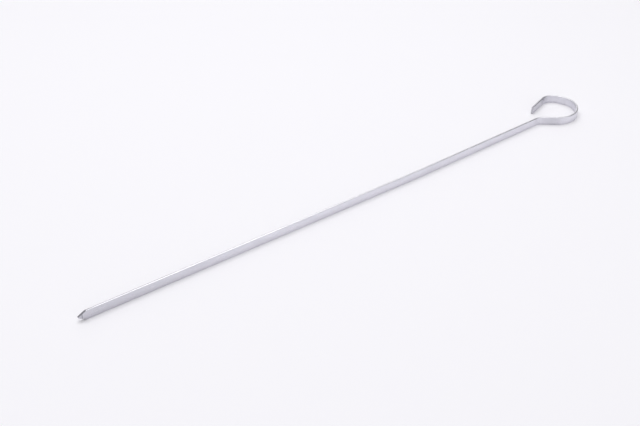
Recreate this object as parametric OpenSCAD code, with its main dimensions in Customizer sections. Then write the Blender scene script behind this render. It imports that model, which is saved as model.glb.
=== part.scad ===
// Flat kebab skewer, bent from one strip of stainless steel: a ground point at
// one end, a long straight shank, and an open eye with a turned-in free end.
// All bends are about upright lines, so the skewer stands on the narrow edge of
// its strip. The shank runs along X with the point at the low end, and Z = 0 is
// the surface that it stands on, under the middle of its outline.

/* [Strip] */
// Width of the flat strip, which stands upright
strip_w = 4.8; // [3.8:0.1:6.4]
// Thickness of the strip
strip_t = 1.2; // [0.9:0.1:1.8]

/* [Point] */
// Length of the ground point
point_l = 4; // [3:0.5:12]
// Height of the small blunt land left at the very tip
land_w = 0.4; // [0.2:0.1:0.8]

/* [Shank] */
// Straight run from the point to the slight bend that the shank has taken
blade_l = 192; // [120:1:280]
// Angle of that slight bend, towards the free end of the eye
set_angle = 1.3; // [0.5:0.1:4]
// Inside radius of that slight bend
set_r = 80; // [40:5:150]
// Straight run from the slight bend to the neck
rear_l = 93; // [60:1:130]

/* [Eye] */
// Angle that the neck turns the strip off the line of the shank
neck_angle = 40.5; // [32:1:50]
// Inside radius of the neck
neck_r = 5.4; // [3:0.1:9]
// Straight front wall between the neck and the wide end
front_l = 7.7; // [4:0.1:14]
// Inside radius of the wide end of the eye
end_r = 14.6; // [13:0.1:18]
// Angle that the wide end turns through
end_angle = 110.4; // [100:1:120]
// Inside radius of the far side of the eye
back_r = 9.8; // [8:0.1:13]
// Angle that the far side turns through
back_angle = 45.7; // [38:1:54]
// Straight back wall between the far side and the tail bend
back_l = 3; // [1:0.5:8]

/* [Tail] */
// Inside radius of the bend that turns the free end in
tail_r = 7.4; // [5:0.1:10]
// Angle of the bend that turns the free end in
tail_angle = 81.5; // [70:1:92]
// Straight length of the free end
tail_l = 14.2; // [6:0.1:20]

/* [Hidden] */
$fn = 96;
steel = [0.78, 0.78, 0.8];
half_t = strip_t / 2;

// The centre line in plan, from the back of the point to the free end.
// Each run is [straight length, centre-line radius, turn], left turns positive.
route = [
    [blade_l, 0, 0],
    [0, set_r + half_t, set_angle],
    [rear_l, 0, 0],
    [0, neck_r + half_t, -neck_angle],
    [front_l, 0, 0],
    [0, end_r + half_t, end_angle],
    [0, back_r + half_t, back_angle],
    [back_l, 0, 0],
    [0, tail_r + half_t, tail_angle],
    [tail_l, 0, 0],
];
// Numbers of the first and last run of each piece
blade_runs = [0, 0];
rear_runs = [1, 2];
eye_runs = [3, 7];
tail_runs = [8, 9];

// Place and heading [x, y, degrees] at the end of a run that starts at p
function after(p, run) = let(
        h = p[2] + run[2],
        sr = sign(run[2]) * run[1])
    run[2] == 0
        ? [p[0] + run[0] * cos(h), p[1] + run[0] * sin(h), h]
        : [p[0] + sr * (sin(h) - sin(p[2])), p[1] - sr * (cos(h) - cos(p[2])), h];

// Place and heading where each run starts, with the tip at zero
starts = [
    for (p = [point_l, 0, 0], i = 0; i < len(route); p = after(p, route[i]), i = i + 1)
        p
];

// Place and heading part of the way along run i
function along(i, share) =
    after(starts[i], [route[i][0] * share, route[i][1], route[i][2] * share]);

// Points down both faces of the strip, which give the outline's limits
outline_steps = 60;
faces = [
    for (i = [0 : len(route) - 1], k = [0 : outline_steps], side = [-half_t, half_t])
        let(p = along(i, k / outline_steps))
            [p[0] - side * sin(p[2]), p[1] + side * cos(p[2])]
];
x_high = max([for (f = faces) f[0]]);
y_low = min([for (f = faces) f[1]]);
y_high = max([for (f = faces) f[1]]);
middle = [x_high / 2, (y_low + y_high) / 2];

// Plan of a straight length of strip along X
module straight(l) {
    translate([0, -half_t])
        square([l, strip_t]);
}

// Moves from the start of a bend to the end of it
module past_bend(r, turn) {
    centre = [0, sign(turn) * r];
    translate(centre)
        rotate(turn)
            translate(-centre)
                children();
}

// Plan of a bend that starts along X and turns left: a ring, kept after the line
// that it starts on and before the line that the next run starts on
module left_bend(r, turn) {
    reach = 2 * r;
    intersection() {
        translate([0, r])
            difference() {
                circle(r + half_t);
                circle(r - half_t);
            }
        translate([0, r - reach])
            square([reach, 2 * reach]);
        past_bend(r, turn)
            translate([-reach, r - reach])
                square([reach, 2 * reach]);
    }
}

// Plan of a bend that turns left, or right where turn is negative
module bend(r, turn) {
    if (turn > 0)
        left_bend(r, turn);
    else
        mirror([0, 1])
            left_bend(r, -turn);
}

// Plan of run i of the route and each one after it as far as run last
module chain(i, last) {
    length = route[i][0];
    r = route[i][1];
    turn = route[i][2];
    if (turn == 0)
        straight(length);
    else
        bend(r, turn);
    if (i < last)
        translate([length, 0])
            past_bend(r, turn)
                chain(i + 1, last);
}

// A piece of the strip, made of the runs from ends[0] to ends[1], in its place
module strip(ends) {
    start = starts[ends[0]];
    linear_extrude(strip_w)
        translate([start[0], start[1]] - middle)
            rotate(start[2])
                chain(ends[0], ends[1]);
}

// End of the strip, cut from both narrow edges to a V at half its width
module point() {
    color(steel)
        translate(-middle)
            intersection() {
                linear_extrude(strip_w)
                    straight(point_l);
                rotate([90, 0, 0])
                    linear_extrude(strip_t, center = true)
                        polygon([
                            [0, (strip_w - land_w) / 2],
                            [point_l, 0],
                            [point_l, strip_w],
                            [0, (strip_w + land_w) / 2],
                        ]);
            }
}

// Long straight front of the shank, from the point to the slight bend
module blade() {
    color(steel)
        strip(blade_runs);
}

// Rear of the shank, from the slight bend to the neck
module rear() {
    color(steel)
        strip(rear_runs);
}

// Open eye from the neck round to the back wall
module eye() {
    color(steel)
        strip(eye_runs);
}

// Free end, bent in towards the shank and cut off square
module tail() {
    color(steel)
        strip(tail_runs);
}

point();
blade();
rear();
eye();
tail();
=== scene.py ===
import math

import bmesh
import bpy
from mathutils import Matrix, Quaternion, Vector


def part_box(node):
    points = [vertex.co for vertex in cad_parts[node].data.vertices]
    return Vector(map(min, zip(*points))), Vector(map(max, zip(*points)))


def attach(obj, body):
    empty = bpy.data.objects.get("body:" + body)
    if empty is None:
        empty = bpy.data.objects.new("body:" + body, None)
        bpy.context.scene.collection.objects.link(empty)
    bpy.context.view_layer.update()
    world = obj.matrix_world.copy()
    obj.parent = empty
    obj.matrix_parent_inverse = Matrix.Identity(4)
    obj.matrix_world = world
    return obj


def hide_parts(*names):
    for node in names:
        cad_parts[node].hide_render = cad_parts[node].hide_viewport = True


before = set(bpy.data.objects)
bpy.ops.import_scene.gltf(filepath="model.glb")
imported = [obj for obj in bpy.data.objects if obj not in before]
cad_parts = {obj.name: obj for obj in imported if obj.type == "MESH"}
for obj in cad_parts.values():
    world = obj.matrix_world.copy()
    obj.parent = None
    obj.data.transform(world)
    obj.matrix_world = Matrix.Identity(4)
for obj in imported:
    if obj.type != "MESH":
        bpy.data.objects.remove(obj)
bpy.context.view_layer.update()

mm = 0.001
onPlane = 1e-8  # how near to a cut counts as on it, in metres

# The one strip of steel that the skewer is bent from, in mm and degrees. Each run of the route
# is (straight length, centre-line radius, turn), left turns positive. The shears say how roughly
# each cut was made, from 0 to 1.
stripSizes = {
    "width": 4.8,
    "thickness": 1.2,
    "upperRadius": 0.42,  # rounding of the long corners
    "lowerRadius": 0.12,
    "cornerSteps": 7,
    "route": [
        (196.0, 0, 0),
        (0, 80.6, 1.3),
        (93.0, 0, 0),
        (0, 6.0, -40.5),
        (7.7, 0, 0),
        (0, 15.2, 110.4),
        (0, 10.4, 45.7),
        (3.0, 0, 0),
        (0, 8.0, 81.5),
        (14.2, 0, 0),
    ],
    "stepAlongStraight": 12.0,
    "stepRoundBend": 2.5,
    "pointLength": 4.0,
    "landHeight": 0.4,
    "pointShear": 1.0,
    "facetReach": 1.8,
    "facetDepth": 0.3,
    "facetShear": 0.25,
    "endShear": 0.45,
    "edgeBreak": 0.05,
    "edgeSegments": 2,
    "sharpAngle": 35,
    "faceWeight": 100,
}


def walkRoute(sizes):
    # points down the middle of the strip, with the tip at zero
    x, y, heading = 0.0, 0.0, 0.0
    spots = [(x, y)]
    for length, radius, turn in sizes["route"]:
        if turn == 0:
            steps = max(1, round(length / sizes["stepAlongStraight"]))
            for _ in range(steps):
                x += length / steps * math.cos(heading)
                y += length / steps * math.sin(heading)
                spots.append((x, y))
            continue
        side = math.copysign(radius, turn)
        steps = max(2, round(abs(turn) / sizes["stepRoundBend"]))
        for _ in range(steps):
            onward = heading + math.radians(turn) / steps
            x += side * (math.sin(onward) - math.sin(heading))
            y -= side * (math.cos(onward) - math.cos(heading))
            heading = onward
            spots.append((x, y))
    return spots


def addSocket(tree, name, way, kind):
    return tree.interface.new_socket(name, in_out=way, socket_type=kind)


def bentStripTree():
    # sweeps the strip's rounded section down a path, and keeps each spot's place on the flat strip
    tree = bpy.data.node_groups.new("bentStrip", "GeometryNodeTree")
    addSocket(tree, "Geometry", "INPUT", "NodeSocketGeometry")
    sockets = {
        "thickness": addSocket(tree, "Thickness", "INPUT", "NodeSocketFloat"),
        "width": addSocket(tree, "Width", "INPUT", "NodeSocketFloat"),
        "upperRadius": addSocket(tree, "Upper Radius", "INPUT", "NodeSocketFloat"),
        "lowerRadius": addSocket(tree, "Lower Radius", "INPUT", "NodeSocketFloat"),
        "cornerSteps": addSocket(tree, "Corner Steps", "INPUT", "NodeSocketInt"),
        "steel": addSocket(tree, "Steel", "INPUT", "NodeSocketMaterial"),
    }
    addSocket(tree, "Geometry", "OUTPUT", "NodeSocketGeometry")
    new, link = tree.nodes.new, tree.links.new
    given, result = new("NodeGroupInput"), new("NodeGroupOutput")
    upright = new("GeometryNodeSetCurveNormal")
    upright.mode = "Z_UP"
    spline = new("GeometryNodeSplineParameter")
    keepLength = new("GeometryNodeCaptureAttribute")
    keepLength.capture_items.new("FLOAT", "Length")
    section = new("GeometryNodeCurvePrimitiveQuadrilateral")
    rounded = new("GeometryNodeFilletCurve")
    rounded.mode = "POLY"
    spot, corner = new("GeometryNodeInputPosition"), new("ShaderNodeSeparateXYZ")
    # the section's +Y side comes out lowest where the strip stands
    isLower = new("FunctionNodeCompare")
    isLower.operation = "GREATER_THAN"
    radius = new("GeometryNodeSwitch")
    radius.input_type = "FLOAT"
    keepSpot = new("GeometryNodeCaptureAttribute")
    keepSpot.capture_items.new("VECTOR", "Spot")
    sweep = new("GeometryNodeCurveToMesh")
    sweep.inputs["Fill Caps"].default_value = True
    parts, flat = new("ShaderNodeSeparateXYZ"), new("ShaderNodeCombineXYZ")
    store = new("GeometryNodeStoreNamedAttribute")
    store.data_type, store.domain = "FLOAT_VECTOR", "POINT"
    store.inputs["Name"].default_value = "flatSpot"
    realize = new("GeometryNodeRealizeInstances")
    dress = new("GeometryNodeSetMaterial")
    for source, name, target, slot in (
        (given, "Geometry", upright, "Curve"),
        (upright, "Curve", keepLength, "Geometry"),
        (spline, "Length", keepLength, "Length"),
        (keepLength, "Geometry", sweep, "Curve"),
        (given, "Thickness", section, "Width"),
        (given, "Width", section, "Height"),
        (section, "Curve", rounded, "Curve"),
        (spot, "Position", corner, "Vector"),
        (corner, "Y", isLower, "A"),
        (isLower, "Result", radius, "Switch"),
        (given, "Upper Radius", radius, "False"),
        (given, "Lower Radius", radius, "True"),
        (radius, "Output", rounded, "Radius"),
        (given, "Corner Steps", rounded, "Count"),
        (rounded, "Curve", keepSpot, "Geometry"),
        (spot, "Position", keepSpot, "Spot"),
        (keepSpot, "Geometry", sweep, "Profile Curve"),
        (keepSpot, "Spot", parts, "Vector"),
        (keepLength, "Length", flat, "X"),
        (parts, "X", flat, "Y"),
        (parts, "Y", flat, "Z"),
        (sweep, "Mesh", store, "Geometry"),
        (flat, "Vector", store, "Value"),
        (store, "Geometry", realize, "Geometry"),
        (realize, "Geometry", dress, "Geometry"),
        (given, "Steel", dress, "Material"),
        (dress, "Geometry", result, "Geometry"),
    ):
        link(source.outputs[name], target.inputs[slot])
    return tree, {key: made.identifier for key, made in sockets.items()}


def plainMesh(piece):
    # what a piece is once its modifiers have worked
    depsgraph = bpy.context.evaluated_depsgraph_get()
    return bpy.data.meshes.new_from_object(piece.evaluated_get(depsgraph), depsgraph=depsgraph)


def sweepStrip(sizes, steel):
    # the whole strip with both ends square, its middle line where the CAD model has it
    tipLow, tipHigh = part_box("point")
    shift = Vector((tipLow.x, (tipLow.y + tipHigh.y) / 2, sizes["width"] / 2 * mm))
    spots = walkRoute(sizes)
    line = bpy.data.curves.new("skewerLine", "CURVE")
    line.dimensions = "3D"
    spline = line.splines.new("POLY")
    spline.points.add(len(spots) - 1)
    for point, (x, y) in zip(spline.points, spots):
        point.co = (*(Vector((x * mm, y * mm, 0.0)) + shift), 1.0)
    maker = bpy.data.objects.new("skewerLine", line)
    bpy.context.scene.collection.objects.link(maker)
    tree, names = bentStripTree()
    sweep = maker.modifiers.new("bentStrip", "NODES")
    sweep.node_group = tree
    for key in ("thickness", "width", "upperRadius", "lowerRadius"):
        sweep[names[key]] = sizes[key] * mm
    sweep[names["cornerSteps"]] = sizes["cornerSteps"]
    sweep[names["steel"]] = steel
    mesh = plainMesh(maker)
    maker.modifiers.remove(sweep)
    bpy.data.objects.remove(maker)
    mesh.name = "skewer"
    piece = bpy.data.objects.new("skewer", mesh)
    bpy.context.scene.collection.objects.link(piece)
    print("strip bent,", len(spots), "spots down its middle")
    return piece


def cutAway(shape, spot, outward, sheared, amount):
    # takes off all that lies outside a plane, and closes the cut with a face that says how
    # roughly it was sheared
    everything = list(shape.verts) + list(shape.edges) + list(shape.faces)
    cut = bmesh.ops.bisect_plane(
        shape, geom=everything, dist=onPlane, plane_co=spot, plane_no=outward, clear_outer=True
    )
    rim = [e for e in cut["geom_cut"] if isinstance(e, bmesh.types.BMEdge)]
    made = bmesh.ops.holes_fill(shape, edges=rim, sides=0)
    for face in made["faces"]:
        face[sheared] = amount
        if face.normal.dot(outward) < 0:
            face.normal_flip()
    return made["faces"]


def shapeEnds(piece, sizes):
    # cuts the V of the point, grinds its near side, and marks the sheared faces
    tipLow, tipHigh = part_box("point")
    shape = bmesh.new()
    shape.from_mesh(piece.data)
    sheared = shape.faces.layers.float.new("sheared")
    for face in shape.faces:
        if len(face.verts) > 4:  # only the two ends have more corners
            face[sheared] = sizes["endShear"]
    middle = sizes["width"] / 2 * mm
    rise = (sizes["width"] - sizes["landHeight"]) / 2 * mm
    for side in (1, -1):
        start = Vector((tipLow.x, tipLow.y, middle + side * sizes["landHeight"] / 2 * mm))
        outward = Vector((-rise, 0.0, side * sizes["pointLength"] * mm)).normalized()
        cutAway(shape, start, outward, sheared, sizes["pointShear"])
    start = Vector((tipLow.x + sizes["facetReach"] * mm, tipLow.y, 0.0))
    outward = Vector((-sizes["facetDepth"], -sizes["facetReach"], 0.0)).normalized()
    for face in cutAway(shape, start, outward, sheared, sizes["facetShear"]):
        for edge in face.edges:
            edge.smooth = False
    shape.to_mesh(piece.data)
    shape.free()
    print("point and facet cut")


def finishEdges(piece, sizes):
    # breaks the sharp edges of the cuts, and shades the flats flat and the corners round
    broken = piece.modifiers.new("brokenEdges", "BEVEL")
    broken.width = sizes["edgeBreak"] * mm
    broken.segments = sizes["edgeSegments"]
    broken.limit_method = "ANGLE"
    broken.angle_limit = math.radians(sizes["sharpAngle"])
    shaded = piece.modifiers.new("evenShading", "WEIGHTED_NORMAL")
    shaded.weight = sizes["faceWeight"]
    shaded.keep_sharp = True
    piece.data.shade_smooth()
    mesh = plainMesh(piece)
    piece.modifiers.clear()
    piece.data = mesh


def addNode(tree, kind, settings=None, **values):
    # a node with its settings, and constant values on its inputs
    node = tree.nodes.new(kind)
    for name, value in (settings or {}).items():
        setattr(node, name, value)
    for name, value in values.items():
        node.inputs[name].default_value = value
    return node


def stretched(tree, vector, scale):
    # a vector times a scale of its own on each axis
    node = addNode(tree, "ShaderNodeVectorMath", {"operation": "MULTIPLY"})
    tree.links.new(vector, node.inputs[0])
    node.inputs[1].default_value = scale
    return node.outputs[0]


def sums(tree, operation, first, second=None, third=None):
    # one step of arithmetic on numbers or sockets
    node = addNode(tree, "ShaderNodeMath", {"operation": operation})
    for slot, value in zip(node.inputs, (first, second, third)):
        if value is None:
            continue
        if isinstance(value, (int, float)):
            slot.default_value = value
        else:
            tree.links.new(value, slot)
    return node.outputs[0]


def ramped(tree, value, low, high, toLow=0.0, toHigh=1.0):
    # a value eased from one range to another, and held at its ends
    node = addNode(tree, "ShaderNodeMapRange", {"interpolation_type": "SMOOTHSTEP"})
    tree.links.new(value, node.inputs["Value"])
    limits = {"From Min": low, "From Max": high, "To Min": toLow, "To Max": toHigh}
    for name, number in limits.items():
        node.inputs[name].default_value = number
    return node.outputs["Result"]


def mixed(tree, share, first, second):
    # two colours mixed by a share
    node = addNode(tree, "ShaderNodeMix", {"data_type": "RGBA"})
    slots = {s.identifier: s for s in node.inputs}
    for slot, value in (("Factor_Float", share), ("A_Color", first), ("B_Color", second)):
        if isinstance(value, tuple):
            slots[slot].default_value = (*value, 1.0)
        else:
            tree.links.new(value, slots[slot])
    return next(o for o in node.outputs if o.identifier == "Result_Color")


# Grain of rolled strip. Each scale is along the strip, through it and across it, per mm.
steelGrain = {
    "longStreaks": (0.07, 3.0, 5.0),
    "longDetail": 6.0,
    "longShare": 0.55,
    "fineStreaks": (0.35, 9.0, 16.0),
    "fineDetail": 4.0,
    "fineShare": 0.45,
    "streakRoughness": 0.6,
    "clouds": (0.09, 0.25, 0.3),
    "cloudDetail": 3.0,
    "cloudRoughness": 0.5,
    "scratches": (0.10, 1.1, 0.75),
    "scratchWidth": 0.022,
    "scratchedClouds": (0.5, 0.66),  # the clouds between which the scratches come in
}


def noiseLayer(tree, spot, scale, detail, roughness):
    # noise on coordinates that are stretched by a scale of their own on each axis
    noise = addNode(tree, "ShaderNodeTexNoise", Scale=1.0, Detail=detail, Roughness=roughness)
    tree.links.new(stretched(tree, spot, scale), noise.inputs["Vector"])
    return noise.outputs["Fac"]


def rolledGrainGroup(grain):
    # streaks, cloudiness and scratches of rolled strip, on its flat coordinates in mm
    group = bpy.data.node_groups.new("rolledGrain", "ShaderNodeTree")
    addSocket(group, "Spot", "INPUT", "NodeSocketVector")
    for name in ("Streaks", "Clouds", "Scratches"):
        addSocket(group, name, "OUTPUT", "NodeSocketFloat")
    given, result = group.nodes.new("NodeGroupInput"), group.nodes.new("NodeGroupOutput")
    spot = given.outputs["Spot"]
    uneven = grain["streakRoughness"]
    longer = noiseLayer(group, spot, grain["longStreaks"], grain["longDetail"], uneven)
    finer = noiseLayer(group, spot, grain["fineStreaks"], grain["fineDetail"], uneven)
    longer = sums(group, "MULTIPLY", longer, grain["longShare"])
    streaks = sums(group, "MULTIPLY_ADD", finer, grain["fineShare"], longer)
    uneven = grain["cloudRoughness"]
    clouds = noiseLayer(group, spot, grain["clouds"], grain["cloudDetail"], uneven)
    cells = addNode(group, "ShaderNodeTexVoronoi", {"feature": "DISTANCE_TO_EDGE"}, Scale=1.0)
    group.links.new(stretched(group, spot, grain["scratches"]), cells.inputs["Vector"])
    lines = ramped(group, cells.outputs["Distance"], 0.0, grain["scratchWidth"], 1.0, 0.0)
    patches = ramped(group, clouds, *grain["scratchedClouds"])
    group.links.new(streaks, result.inputs["Streaks"])
    group.links.new(clouds, result.inputs["Clouds"])
    group.links.new(sums(group, "MULTIPLY", lines, patches), result.inputs["Scratches"])
    return group


# Satin stainless steel, as rolled strip looks. Shades and shares run from 0 to 1, and a range is
# the values of the grain between which an effect comes in. The reaches of the painted shade at
# the tip, at the free end and on the front wall of the eye are in mm along the strip from its tip.
steelLook = {
    "colour": (0.81, 0.803, 0.855),
    "streakColour": (0.71, 0.703, 0.757),
    "streakRange": (0.35, 0.68),
    "streakShare": 0.6,
    "cloudRange": (0.4, 0.7),
    "cloudShare": 0.35,
    "rubbedColour": (0.84, 0.835, 0.87),
    "rubbedReach": (0.5, 0.05),  # full and starting, in corner radii in from the flat face
    "rubbedShare": 0.7,
    "rubbedRoughness": 0.26,
    "paintedShadeColour": (0.63, 0.625, 0.67),
    "paintedTipShadeReach": (-10, 115),  # painted shade, full at the tip and fading out along the shank
    "paintedTipShade": 0.85,
    "paintedFreeEndShadeReach": (322, 362),  # painted shade, comes in towards the free end
    "paintedFreeEndShade": 0.7,
    "paintedWallShadeSpan": (288, 302, 310),  # painted shade, starts before the neck, is full on the front wall, and ends
    "paintedWallShade": 1.0,
    "burrReach": (0.12, 0.4),  # mm from the end of the facet, full and faded
    "burrSide": (0.3, 0.5),  # mm towards the near side, starting and full
    "burrShade": 0.7,
    "scratchShare": 0.35,
    "shearedColour": (0.35, 0.35, 0.38),
    "shearedRoughness": 0.62,
    "roughness": 0.31,
    "roughStreakRange": (0.3, 0.7),
    "streakRoughens": (-0.05, 0.06),
    "roughCloudRange": (0.35, 0.7),
    "cloudRoughens": (-0.03, 0.05),
    "scratchDepth": -0.5,
    "reliefStrength": 0.35,
    "reliefHeight": 0.00003,  # metres
}


def dressSteel(steel, look, grainSizes, sizes):
    # satin steel with a lengthwise grain, rubbed narrow edges and rough sheared ends. Shade is
    # painted into its colour towards the tip, towards the free end and on the front wall of the
    # eye.
    steel.use_nodes = True
    tree = steel.node_tree
    tree.nodes.clear()
    link = tree.links.new
    out = addNode(tree, "ShaderNodeOutputMaterial")
    metal = addNode(tree, "ShaderNodeBsdfPrincipled", Metallic=1.0)
    link(metal.outputs["BSDF"], out.inputs["Surface"])
    place = addNode(tree, "ShaderNodeAttribute", {"attribute_name": "flatSpot"})
    spot = stretched(tree, place.outputs["Vector"], (1 / mm, 1 / mm, 1 / mm))
    grain = addNode(tree, "ShaderNodeGroup", {"node_tree": rolledGrainGroup(grainSizes)})
    link(spot, grain.inputs["Spot"])
    streaks, clouds, scratches = (grain.outputs[n] for n in ("Streaks", "Clouds", "Scratches"))
    axes = addNode(tree, "ShaderNodeSeparateXYZ")
    link(spot, axes.inputs["Vector"])
    along, through = axes.outputs["X"], axes.outputs["Y"]
    fromMiddle = sums(tree, "ABSOLUTE", through)
    full, start = (sizes["thickness"] / 2 - sizes["upperRadius"] * r for r in look["rubbedReach"])
    rubbed = ramped(tree, fromMiddle, full, start, 1.0, 0.0)
    shear = addNode(tree, "ShaderNodeAttribute", {"attribute_name": "sheared"})
    sheared = shear.outputs["Fac"]

    streaked = ramped(tree, streaks, *look["streakRange"], 0.0, look["streakShare"])
    clouded = ramped(tree, clouds, *look["cloudRange"], 0.0, look["cloudShare"])
    # painted shade towards the tip
    tipShade = ramped(tree, along, *look["paintedTipShadeReach"], look["paintedTipShade"], 0.0)
    # painted shade towards the free end
    freeEndShade = ramped(tree, along, *look["paintedFreeEndShadeReach"], 0.0, look["paintedFreeEndShade"])
    # painted shade on the front wall of the eye, coming in before the neck
    before, most, after = look["paintedWallShadeSpan"]
    rising = ramped(tree, along, before, most)
    falling = ramped(tree, along, most, after, 1.0, 0.0)
    wallShade = sums(tree, "MULTIPLY", rising, falling)
    shadeShare = sums(tree, "ADD", tipShade, freeEndShade)
    shadeShare = sums(tree, "MULTIPLY_ADD", wallShade, look["paintedWallShade"], shadeShare)
    fromBurr = sums(tree, "ABSOLUTE", sums(tree, "SUBTRACT", along, sizes["facetReach"]))
    nearSide = ramped(tree, through, *look["burrSide"])
    burr = sums(tree, "MULTIPLY", ramped(tree, fromBurr, *look["burrReach"], 1.0, 0.0), nearSide)
    colour = look["colour"]
    for share, tint in (
        (streaked, look["streakColour"]),
        (clouded, look["streakColour"]),
        (sums(tree, "MULTIPLY", rubbed, look["rubbedShare"]), look["rubbedColour"]),
        # painted shade, mixed into the steel's colour
        (shadeShare, look["paintedShadeColour"]),
        (sums(tree, "MULTIPLY", burr, look["burrShade"]), look["shearedColour"]),
        (sums(tree, "MULTIPLY", scratches, look["scratchShare"]), look["colour"]),
        (sheared, look["shearedColour"]),
    ):
        colour = mixed(tree, share, colour, tint)
    link(colour, metal.inputs["Base Color"])

    plain = look["roughness"]
    smoothest, roughest = (plain + change for change in look["streakRoughens"])
    rough = ramped(tree, streaks, *look["roughStreakRange"], smoothest, roughest)
    cloudy = ramped(tree, clouds, *look["roughCloudRange"], *look["cloudRoughens"])
    rough = sums(tree, "ADD", rough, cloudy)
    rough = sums(tree, "MULTIPLY_ADD", rubbed, look["rubbedRoughness"] - plain, rough)
    rough = sums(tree, "MULTIPLY_ADD", sheared, look["shearedRoughness"] - plain, rough)
    link(rough, metal.inputs["Roughness"])

    relief = sums(tree, "MULTIPLY_ADD", scratches, look["scratchDepth"], streaks)
    bump = addNode(tree, "ShaderNodeBump", Strength=look["reliefStrength"])
    bump.inputs["Distance"].default_value = look["reliefHeight"]
    link(relief, bump.inputs["Height"])
    link(bump.outputs["Normal"], metal.inputs["Normal"])
    print("steel dressed")


# Plain pale table and soft light, in metres and watts. A patch of the sky is its level, the
# azimuth and height of its middle, and how far from there it starts and is full, in degrees.
stageLook = {
    "floorColour": (0.935, 0.925, 0.965),
    "floorRoughness": 0.75,
    "floorGloss": 0.1,
    "floorSize": 8.0,
    "floorFades": (0.3, 0.8),
    "backdrop": (0.94, 0.935, 0.965),
    "backdropReach": (0.02, 0.07),  # heights on a sphere of radius 1, as skyChange
    "lowSky": 0.44,
    "highSky": 1.1,
    "skyChange": (0.42, 0.62),
    "skyPatches": {
        "glow": (1.2, (52, 33), (36, 20)),
        "back": (0.75, (78, 44), (20, 7)),
        "front": (0.95, (-95, 15), (60, 25)),
        "left": (0.15, (182, 26), (46, 28)),
        "right": (0.04, (-10, 5), (49, 39)),
    },
    "lampPower": 7.4,
    "lampSize": 1.3,
    "lampPlace": (0.04, 0.2, 1.16),
}


def seenRays(tree):
    # rays that come from the camera, and rays that metal and glass send on
    rays = addNode(tree, "ShaderNodeLightPath").outputs
    shiny = sums(tree, "MAXIMUM", rays["Is Glossy Ray"], rays["Is Transmission Ray"])
    return rays["Is Camera Ray"], shiny


def makeFloor(look):
    # a plain pale table top, which is seen to turn into the backdrop far away
    half = look["floorSize"] / 2
    corners = [(x * half, y * half, 0) for x, y in ((-1, -1), (1, -1), (1, 1), (-1, 1))]
    mesh = bpy.data.meshes.new("table")
    mesh.from_pydata(corners, [], [(0, 1, 2, 3)])
    table = bpy.data.objects.new("table", mesh)
    bpy.context.scene.collection.objects.link(table)
    paint = bpy.data.materials.new("paleTable")
    paint.use_nodes = True
    tree = paint.node_tree
    skin = tree.nodes["Principled BSDF"]
    skin.inputs["Base Color"].default_value = (*look["floorColour"], 1.0)
    skin.inputs["Roughness"].default_value = look["floorRoughness"]
    skin.inputs["Specular IOR Level"].default_value = look["floorGloss"]
    place = addNode(tree, "ShaderNodeTexCoord")
    away = addNode(tree, "ShaderNodeVectorMath", {"operation": "LENGTH"})
    tree.links.new(place.outputs["Object"], away.inputs[0])
    far = ramped(tree, away.outputs["Value"], *look["floorFades"])
    backdrop = addNode(tree, "ShaderNodeEmission", Color=(*look["backdrop"], 1.0))
    choose = addNode(tree, "ShaderNodeMixShader")
    cameraRays, shinyRays = seenRays(tree)
    seen = sums(tree, "ADD", cameraRays, shinyRays)
    tree.links.new(sums(tree, "MULTIPLY", far, seen), choose.inputs[0])
    tree.links.new(skin.outputs[0], choose.inputs[1])
    tree.links.new(backdrop.outputs[0], choose.inputs[2])
    tree.links.new(choose.outputs[0], tree.nodes["Material Output"].inputs["Surface"])
    mesh.materials.append(paint)


def patched(tree, way, level, patchLevel, towards, spread):
    # a sky level with a round patch of another level
    azimuth, height = (math.radians(a) for a in towards)
    flatShare = math.cos(height)
    middle = (flatShare * math.cos(azimuth), flatShare * math.sin(azimuth), math.sin(height))
    nearness = addNode(tree, "ShaderNodeVectorMath", {"operation": "DOT_PRODUCT"})
    tree.links.new(way, nearness.inputs[0])
    nearness.inputs[1].default_value = middle
    limits = (math.cos(math.radians(a)) for a in spread)
    share = ramped(tree, nearness.outputs["Value"], *limits)
    change = sums(tree, "MULTIPLY", share, sums(tree, "SUBTRACT", patchLevel, level))
    return sums(tree, "ADD", level, change)


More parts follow.
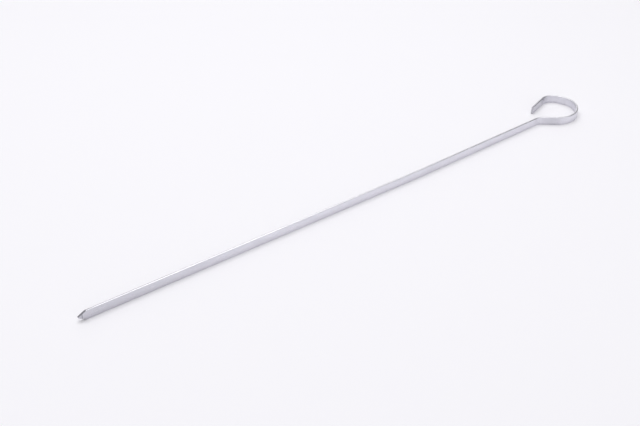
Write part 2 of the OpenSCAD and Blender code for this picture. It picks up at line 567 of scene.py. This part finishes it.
def makeLight(look):
    # a pale sky that is darker low down and has patches of other levels, and one soft lamp.
    # The camera sees the plain backdrop in its place, and shiny pieces see that low down.
    world = bpy.data.worlds.new("softRoom")
    bpy.context.scene.world = world
    world.use_nodes = True
    tree = world.node_tree
    tree.nodes.clear()
    link = tree.links.new
    out = addNode(tree, "ShaderNodeOutputWorld")
    way = addNode(tree, "ShaderNodeTexCoord")
    axes = addNode(tree, "ShaderNodeSeparateXYZ")
    link(way.outputs["Generated"], axes.inputs["Vector"])
    level = ramped(tree, axes.outputs["Z"], *look["skyChange"], look["lowSky"], look["highSky"])
    for patch in look["skyPatches"].values():
        level = patched(tree, way.outputs["Generated"], level, *patch)
    sky = addNode(tree, "ShaderNodeBackground")
    link(level, sky.inputs["Strength"])
    backdrop = addNode(tree, "ShaderNodeBackground", Color=(*look["backdrop"], 1.0))
    choose = addNode(tree, "ShaderNodeMixShader")
    cameraRays, shinyRays = seenRays(tree)
    low = ramped(tree, axes.outputs["Z"], *look["backdropReach"], 1.0, 0.0)
    link(sums(tree, "MULTIPLY_ADD", low, shinyRays, cameraRays), choose.inputs[0])
    link(sky.outputs[0], choose.inputs[1])
    link(backdrop.outputs[0], choose.inputs[2])
    link(choose.outputs[0], out.inputs["Surface"])

    lamp = bpy.data.lights.new("softLamp", "AREA")
    lamp.shape = "DISK"
    lamp.size = look["lampSize"]
    lamp.energy = look["lampPower"]
    holder = bpy.data.objects.new("softLamp", lamp)
    holder.location = look["lampPlace"]
    holder.rotation_euler = (-Vector(look["lampPlace"])).to_track_quat("-Z", "Y").to_euler()
    bpy.context.scene.collection.objects.link(holder)


# The camera of the photograph: the place of the lens and the line that it looks along, in
# metres, its turn about that line in degrees, and its lens and film in mm
cameraPlace = {
    "location": (-0.25193, -0.30557, 0.26406),
    "forward": (0.48382, 0.66153, -0.5731),
    "roll": -0.103,
    "lens": 50.625,
    "sensorWidth": 36.0,
    "clip": (0.01, 20.0),
}


def makeCamera(place):
    lens = bpy.data.cameras.new("camera")
    lens.sensor_fit = "HORIZONTAL"
    lens.sensor_width = place["sensorWidth"]
    lens.lens = place["lens"]
    lens.clip_start, lens.clip_end = place["clip"]
    camera = bpy.data.objects.new("camera", lens)
    camera.location = place["location"]
    aim = Vector(place["forward"]).to_track_quat("-Z", "Y")
    aim @= Quaternion((0.0, 0.0, 1.0), math.radians(place["roll"]))
    camera.rotation_euler = aim.to_euler()
    bpy.context.scene.collection.objects.link(camera)
    bpy.context.scene.camera = camera


bpy.context.scene.view_settings.view_transform = "Standard"
makeCamera(cameraPlace)
makeFloor(stageLook)
makeLight(stageLook)
print("stage ready")

steel = bpy.data.materials.new("satinSteel")
dressSteel(steel, steelLook, steelGrain, stripSizes)
skewer = sweepStrip(stripSizes, steel)
shapeEnds(skewer, stripSizes)
finishEdges(skewer, stripSizes)
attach(skewer, "root")
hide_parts("point", "blade", "rear", "eye", "tail")
print("skewer ready,", len(skewer.data.polygons), "faces")
